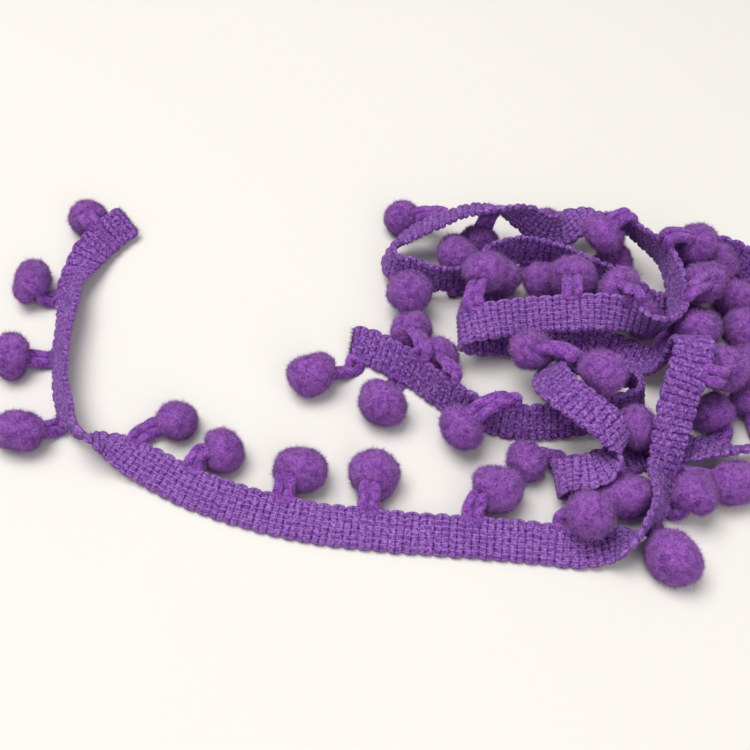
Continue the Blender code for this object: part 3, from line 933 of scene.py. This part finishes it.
# %% [markdown]
# ## The balls
# Each ball starts as an even sphere of small triangles. It is pressed in where its loop enters,
# with a shallow groove across that hollow, and lumpy as hand-trimmed pile is. Most balls are a
# little flattened along the loop and a little longer one way, and some are plainly long. A ball
# is flat where it rests on the table. Fibres then stand all over it.

# %% One even sphere to start from
BALL_SUBDIVISIONS = 4


def even_sphere():
    """Directions and triangles of an even sphere."""
    ball_mesh = bmesh.new()
    bmesh.ops.create_icosphere(ball_mesh, subdivisions=BALL_SUBDIVISIONS, radius=1)
    directions = np.array([tuple(vertex.co) for vertex in ball_mesh.verts])
    faces = np.array([[vertex.index for vertex in face.verts] for face in ball_mesh.faces])
    ball_mesh.free()
    return unit(directions), faces


sphere_ways, sphere_faces = even_sphere()
print("sphere triangles:", len(sphere_faces))

# %% The shape of a ball in any direction
MEAN_REACH = 0.945
OBLATE = 0.16
BALL_DIMPLE = 0.36
DIMPLE_ANGLE = 0.5
CLEFT_DEPTH = 0.16
CLEFT_HALF_WIDTH = 0.28
LUMP = 0.062
LUMP_LENGTH = 1.6
FELT = 0.026
FELT_LENGTH = 0.42
FELT_SEED = 100
# The mean of a squared cosine over all directions, so that stretching keeps a ball's size.
MEAN_SQUARE = 1 / 3
LONG = 0.14
# Degrees from one pompom's long way to the next one's, so that they point all ways.
LONG_TURN = 137
# Pompoms that are plainly long in one direction: its compass angle in degrees and the extra share.
LONG_POMPOMS = {
    1: (0, 0.2),
    2: (90, 0.5),
    4: (-5, 0.34),
    7: (0, 0.24),
    9: (5, 0.2),
    13: (5, 0.26),
    15: (-10, 0.26),
    18: (30, 0.18),
    42: (0, 0.22),
    49: (20, 0.22),
}


def ball_reach(ways, number):
    """How far a pompom's surface is from its middle in each direction."""
    up = unit(knee[number] - ball[number])
    cleft = unit(np.cross(up, way[root_sample[number]]))
    along_up = ways @ up
    tilt = np.arccos(np.clip(along_up, -1, 1))
    compass, longer = LONG_POMPOMS.get(number + 1, (LONG_TURN * number, LONG))
    lengthwise = ways @ (math.cos(math.radians(compass)), math.sin(math.radians(compass)), 0)
    lumps = LUMP * swells(ways, LUMP_LENGTH, number)
    lumps = lumps + FELT * swells(ways, FELT_LENGTH, number + FELT_SEED)
    oblate = 0 if number + 1 in LONG_POMPOMS else OBLATE
    squash = oblate * (MEAN_SQUARE - along_up**2) + longer * (lengthwise**2 - MEAN_SQUARE)
    dimple = BALL_DIMPLE * np.exp(-((tilt / DIMPLE_ANGLE) ** 2))
    dimple += CLEFT_DEPTH * np.exp(-((ways @ cleft / CLEFT_HALF_WIDTH) ** 2)) * np.clip(along_up, 0, 1)
    return ball_radius[number] * (MEAN_REACH + lumps + squash - dimple)


# %% [markdown]
# ## The loops
# A loop is one soft thick yarn: out of the ball, into the tape's edge, round inside it and back,
# its two legs side by side. It is a tube along a smooth path, thinner where it turns inside the
# edge. It bends between the CAD part's knee and the straight way, because soft yarn bends less
# sharply than the solid. Two plies show as a slow spiral, made by letting the tube's radius
# swell and shrink round it.

# %% Path of a loop
LOOP_HALF_WIDTH = 1.15
LOOP_START = 0.3
LOOP_TWIST = 0.8
LOOP_IN_EDGE = 1.0
KNEE_EASE = 0.6
LOOP_RINGS = 46


def loop_path(number):
    """Middle line of the doubled yarn of a pompom, and a way square to it."""
    side = way[root_sample[number]]
    inner = ball[number] + LOOP_START * (knee[number] - ball[number])
    bend = (1 - KNEE_EASE) * knee[number] + KNEE_EASE * (foot[number] + inner) / 2
    out = unit(bend - foot[number])
    on = unit(ball[number] - bend)
    turn = LOOP_TWIST * np.cross(out, on)
    turn = turn if side @ turn > 0 else -turn
    apart_at_ball = unit(side - (side @ on) * on + turn)
    apart_at_knee = unit(side + apart_at_ball)
    outward = edge[root_sample[number]] * POMPOMS[number][1]
    root = middle[root_sample[number]] + outward * (PEAK_HALF_WIDTH - LOOP_IN_EDGE)
    legs = [(inner, apart_at_ball), (bend, apart_at_knee), (foot[number], side), (root, side)]
    first = [place + LOOP_HALF_WIDTH * apart for place, apart in legs]
    second = [place - LOOP_HALF_WIDTH * apart for place, apart in legs]
    path = np.array([*first, *second[::-1]])
    knots = np.concatenate([[0], np.cumsum(np.linalg.norm(np.diff(path, axis=0), axis=1) ** KNOT_POWER)])
    at = np.linspace(0, knots[-1], LOOP_RINGS)
    line = smooth_curve(knots, path, at)
    normals = np.array([np.cross(apart_at_ball, on)] + 3 * [np.cross(side, out)])
    normals = unit(np.concatenate([normals, normals[::-1]]))
    return line, unit(smooth_curve(knots, normals, at))


# %% A plied tube along a path
YARN_RADIUS = 1.28
PLY_LENGTH = 4.2
PLY_DEPTH = 0.06
YARN_SIDES = 10
TAPER = 0.4
TAPER_LENGTH = 1.3
YARN_UNEVEN = 0.05
YARN_UNEVEN_LENGTH = 1.1
YARN_SEED = 300
# The yarn's own painted light, and how much more of it the crown of a ply has, as a painted highlight on
# the crown.
PLY_PAINTED_LIGHT = (0.05, 0.1)


def plied_tube(line, normal, number):
    """Points and faces of a soft two-ply yarn, with the outward way and the painted light at each point.
    """
    forward = unit(np.gradient(line, axis=0))
    normal = unit(normal - (normal * forward).sum(axis=1, keepdims=True) * forward)
    beside = np.cross(forward, normal)
    walked = np.concatenate([[0], np.cumsum(np.linalg.norm(np.diff(line, axis=0), axis=1))])
    round_it = TURN * np.arange(YARN_SIDES) / YARN_SIDES
    ply = np.cos(2 * round_it[None] - TURN * walked[:, None] / PLY_LENGTH + number)
    to_turn = (walked - walked[-1] / 2) / TAPER_LENGTH
    radius = YARN_RADIUS * (1 + PLY_DEPTH * ply) * (1 - TAPER * np.exp(-(to_turn**2)))[:, None]
    to_front = np.cos(round_it)[None, :, None] * normal[:, None]
    to_side = np.sin(round_it)[None, :, None] * beside[:, None]
    outward = to_front + to_side
    points = (line[:, None] + radius[..., None] * outward).reshape(-1, 3)
    outward = outward.reshape(-1, 3)
    points += YARN_UNEVEN * swells(points, YARN_UNEVEN_LENGTH, number + YARN_SEED)[:, None] * outward
    painted_light = PLY_PAINTED_LIGHT[0] + PLY_PAINTED_LIGHT[1] * ply.ravel()
    return points, ring_faces(len(line), YARN_SIDES), outward, painted_light


# %% Put a pompom together
BALL_FIBRES = 10100
YARN_FIBRES = 1500
ROOT_DEPTH = 0.12
YARN_ROOT_DEPTH = 0.05
FIBRE_LENGTHS = (0.35, 1.0)
STRAY_LENGTH = 1.2
STRAY_RARITY = 9
YARN_FIBRE_LENGTH = 0.7
# The painted light of the ball's surface under the fibres, kept low as painted shade under the pile, and
# the share of it that the loop's fibres get.
GROUND_PAINTED_LIGHT = 0.15
YARN_PAINTED_LIGHT = 0.5
PILE_LEAN = 0.45
POMPOM_SEED = 1000


def fibre_lengths(count, chance):
    """Most fibres are short, and a few stray ones are long."""
    even = chance.uniform(*FIBRE_LENGTHS, count)
    return even + STRAY_LENGTH * chance.uniform(0, 1, count) ** STRAY_RARITY


def make_pompom(number):
    """A ball, its loop and the fibres of both, as one piece."""
    chance = np.random.default_rng(POMPOM_SEED + number)
    centre = ball[number]
    surface = centre + ball_reach(sphere_ways, number)[:, None] * sphere_ways
    rooted = unit(chance.normal(size=(BALL_FIBRES, 3)))
    ball_roots = centre + (ball_reach(rooted, number) - ROOT_DEPTH)[:, None] * rooted
    yarn, yarn_quads, yarn_out, yarn_painted_light = plied_tube(*loop_path(number), number)
    chosen = chance.integers(0, len(yarn), YARN_FIBRES)
    roots = np.concatenate([ball_roots, yarn[chosen] - YARN_ROOT_DEPTH * yarn_out[chosen]])
    outward = np.concatenate([rooted, yarn_out[chosen]])
    lengths = fibre_lengths(len(roots), chance)
    lengths[BALL_FIBRES:] *= YARN_FIBRE_LENGTH
    pile = make_fibres(roots, outward, lengths, PILE_LEAN, chance)
    fibres, fibre_faces, fibre_normals, fibre_painted_light = pile
    # The loop's fibres get less painted light than the ball's.
    fibre_painted_light[3 * BALL_FIBRES :] *= YARN_PAINTED_LIGHT
    points = np.concatenate([surface, yarn, fibres])
    points[:, 2] = np.maximum(points[:, 2], TABLE_GAP)
    triangles = np.concatenate([sphere_faces, fibre_faces + len(surface) + len(yarn)])
    normals = np.concatenate([sphere_ways, yarn_out, fibre_normals])
    # The ball's surface under the fibres gets little painted light, as painted shade under the pile.
    marks = {"painted_light": np.concatenate([np.full(len(surface), GROUND_PAINTED_LIGHT), yarn_painted_light, fibre_painted_light])}
    name = f"soft_pompom_{number + 1:02d}"
    return make_piece(name, points, yarn_quads + len(surface), triangles, pile_finish, marks, normals)


pompoms = [make_pompom(number) for number in range(len(POMPOMS))]
print("triangles in a pompom:", len(pompoms[0].data.polygons))

# %% [markdown]
# ## Fuzz on the tape
# The tape's own fibres are shorter and lie flatter than the pile's. They stand on random points
# of the shell, and more thickly along its edges. The cut ends are frayed by longer ones.

# %% Fuzz the tape
TAPE_FIBRES = 60000
TAPE_FIBRE_LENGTHS = (0.2, 0.65)
RIM_FROM = 0.78
RIM_SHARE = 0.35
END_FIBRES = 1200
END_LENGTHS = (0.4, 1.5)
END_SPREAD = 0.2
FUZZ_DEPTH = 0.04
FUZZ_LEAN = 0.7
FUZZ_RIM_POWER = 5
FUZZ_SEED = 7
# The place in a pass and in a row whose colour the fibres have: the middle, on top of a float.
ON_FLOAT = 0.5


def make_tape_fuzz():
    """The loose fibres on the tape's faces, along its edges and at its cut ends."""
    chance = np.random.default_rng(FUZZ_SEED)
    section = chance.integers(0, len(fine_index), TAPE_FIBRES)
    place = chance.integers(0, len(ring), TAPE_FIBRES)
    rim = np.flatnonzero(np.abs(ring[:, 0]) > RIM_FROM)
    on_rim = chance.uniform(size=TAPE_FIBRES) < RIM_SHARE
    place[on_rim] = rim[chance.integers(0, len(rim), on_rim.sum())]
    roots = tape_shell[section, place]
    across, side, _ = ring[place].T
    edgeways = (across**FUZZ_RIM_POWER)[:, None] * fine_edge[section]
    outward = unit(side[:, None] * fine_face[section] + edgeways)
    lengths = chance.uniform(*TAPE_FIBRE_LENGTHS, TAPE_FIBRES)
    roots = roots - FUZZ_DEPTH * outward
    end = chance.integers(0, 2, END_FIBRES)
    end_way = np.where(end, 1, -1)[:, None] * fine_way[-end]
    end_roots = tape_shell[-end, chance.integers(0, len(ring), END_FIBRES)]
    inward = chance.uniform(0, 1, (END_FIBRES, 1)) * (fine_middle[-end] - end_roots)
    end_roots = end_roots + inward * END_SPREAD
    roots = np.concatenate([roots, end_roots])
    outward = np.concatenate([outward, end_way])
    lengths = np.concatenate([lengths, chance.uniform(*END_LENGTHS, END_FIBRES)])
    points, faces, normals, _ = make_fibres(roots, outward, lengths, FUZZ_LEAN, chance)
    points[:, 2] = np.maximum(points[:, 2], TABLE_GAP)
    marks = {
        "passes": np.full(len(points), ON_FLOAT),
        "rows": np.full(len(points), ON_FLOAT),
        "front": np.zeros(len(points)),
    }
    return make_piece("tape_fuzz", points, NO_QUADS, faces, tape_finish, marks, normals)


tape_fuzz = make_tape_fuzz()
print("fuzz fibres on the tape:", len(tape_fuzz.data.polygons))

# %% [markdown]
# ## Table and light
# The trim lies on a plain warm white table in soft daylight from overhead, a little to the left.
# A large lamp stands for the window and gives the soft shadows. A weak one at the front right
# stands for the light that the room sends back, and an even pale sky fills the rest.

# %% Table
FLOOR_SIDE = 3.0
FLOOR_COLOUR = (0.735, 0.725, 0.70, 1)
FLOOR_SHADE = (0.66, 0.645, 0.61, 1)
FLOOR_NOISE = (30, 3)
FLOOR_SHADE_SHARE = 0.06
FLOOR_SURFACE = {"Roughness": 0.7, "Specular IOR Level": 0.2}


def make_floor():
    finish = Finish("table_white", FLOOR_SURFACE)
    shade = finish.noise(*FLOOR_NOISE) * FLOOR_SHADE_SHARE
    finish.feed("Base Color", finish.mix(shade, FLOOR_COLOUR, FLOOR_SHADE))
    half = FLOOR_SIDE / 2
    corners = [(-half, -half, 0), (half, -half, 0), (half, half, 0), (-half, half, 0)]
    mesh = bpy.data.meshes.new("table")
    mesh.from_pydata(corners, [], [(0, 1, 2, 3)])
    mesh.materials.append(finish.material)
    table = bpy.data.objects.new("table", mesh)
    bpy.context.scene.collection.objects.link(table)
    return table


floor = make_floor()
print("table side in m:", FLOOR_SIDE)

# %% Light
LAMP_COLOUR = (1.0, 0.98, 0.95)
# Name, place, side and power of each lamp, in metres and watts. All point at the trim.
LAMPS = [
    ("window", (-0.26, 0.12, 0.96), 0.7, 10.2),
    ("room", (0.25, -0.5, 0.45), 0.6, 1.7),
]
SKY_COLOUR = (1.0, 0.985, 0.955, 1)
SKY_STRENGTH = 0.32

for lamp_name, place, side, power in LAMPS:
    lamp_data = bpy.data.lights.new(lamp_name, "AREA")
    lamp_data.size = side
    lamp_data.energy = power
    lamp_data.color = LAMP_COLOUR
    lamp = bpy.data.objects.new(lamp_name, lamp_data)
    lamp.location = place
    lamp.rotation_euler = (-lamp.location).to_track_quat("-Z", "Y").to_euler()
    bpy.context.scene.collection.objects.link(lamp)
world = bpy.data.worlds.new("sky")
world.use_nodes = True
world.node_tree.nodes["Background"].inputs["Color"].default_value = SKY_COLOUR
world.node_tree.nodes["Background"].inputs["Strength"].default_value = SKY_STRENGTH
bpy.context.scene.world = world
bpy.context.scene.view_settings.view_transform = "Standard"
print("lamps:", len(LAMPS))

# %% [markdown]
# ## Tying the pieces to the model
# Every piece rides on the one body of the part, and the tape and each pompom hide the CAD solid that
# they stand for. The tape is a strip 9.2 mm wide over its scallops, and the pompoms beneath it are
# found: those that it lies over. Its flat width is given as 10 mm, the least that a sheet may have,
# and its area as that of the real strip.

# %% Ride, replace, and find the pompoms under the tape
# A pompom is under the tape where the tape's middle passes this near to it, seen from above, and
# this far over its middle.
UNDER_REACH = 4.0
UNDER_DEPTH = 3.0

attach(tape, "root")
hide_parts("tape")
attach(tape_fuzz, "root")
for number, pompom in enumerate(pompoms):
    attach(pompom, "root")
    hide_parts(f"pompom_{number + 1:02d}")
from_ball = middle[None] - ball[:, None]
beneath = (np.linalg.norm(from_ball[..., :2], axis=2) < UNDER_REACH) & (from_ball[..., 2] > UNDER_DEPTH)
